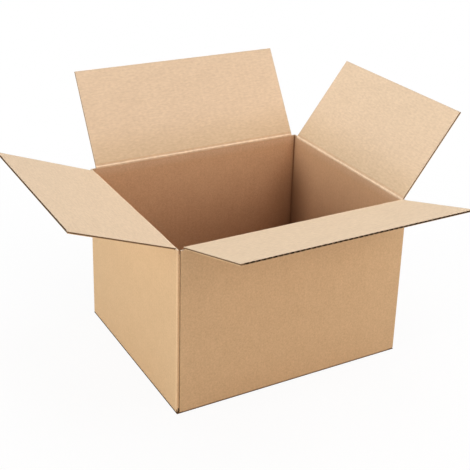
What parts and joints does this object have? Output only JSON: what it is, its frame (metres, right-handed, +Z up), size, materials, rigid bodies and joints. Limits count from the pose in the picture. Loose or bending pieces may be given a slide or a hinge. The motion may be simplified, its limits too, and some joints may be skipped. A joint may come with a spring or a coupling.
{
  "type": "open cardboard box",
  "caption": "Open corrugated cardboard shipping carton with folding top flaps, a glued bottom and a glued side joint.",
  "frame": {"origin": "centre of the base, on the surface that the carton stands on", "axes": "+Z up; +X along the long walls to the right end wall; +Y from the front wall to the back wall"},
  "size_m": [0.4983, 0.4416, 0.314],
  "materials": {
    "board": "plain brown kraft liner, matt"
  },
  "bodies": {
    "body": {"body": "board"},
    "front_flap": {"front_flap": "board"},
    "back_flap": {"back_flap": "board"},
    "left_flap": {"left_flap": "board"},
    "right_flap": {"right_flap": "board"}
  },
  "joints": [
    {"name": "front_flap_fold", "type": "hinge", "parent": "body", "child": "front_flap", "pos_m": [0, -0.1274, 0.206], "axis": [1, 0, 0], "range_deg": [-163, 99]},
    {"name": "back_flap_fold", "type": "hinge", "parent": "body", "child": "back_flap", "pos_m": [0, 0.1274, 0.206], "axis": [-1, 0, 0], "range_deg": [-122, 140]},
    {"name": "left_flap_fold", "type": "hinge", "parent": "body", "child": "left_flap", "pos_m": [-0.1524, 0, 0.2035], "axis": [0, -1, 0], "range_deg": [-159.5, 102.5]},
    {"name": "right_flap_fold", "type": "hinge", "parent": "body", "child": "right_flap", "pos_m": [0.1524, 0, 0.2035], "axis": [0, 1, 0], "range_deg": [-127, 135]}
  ]
}
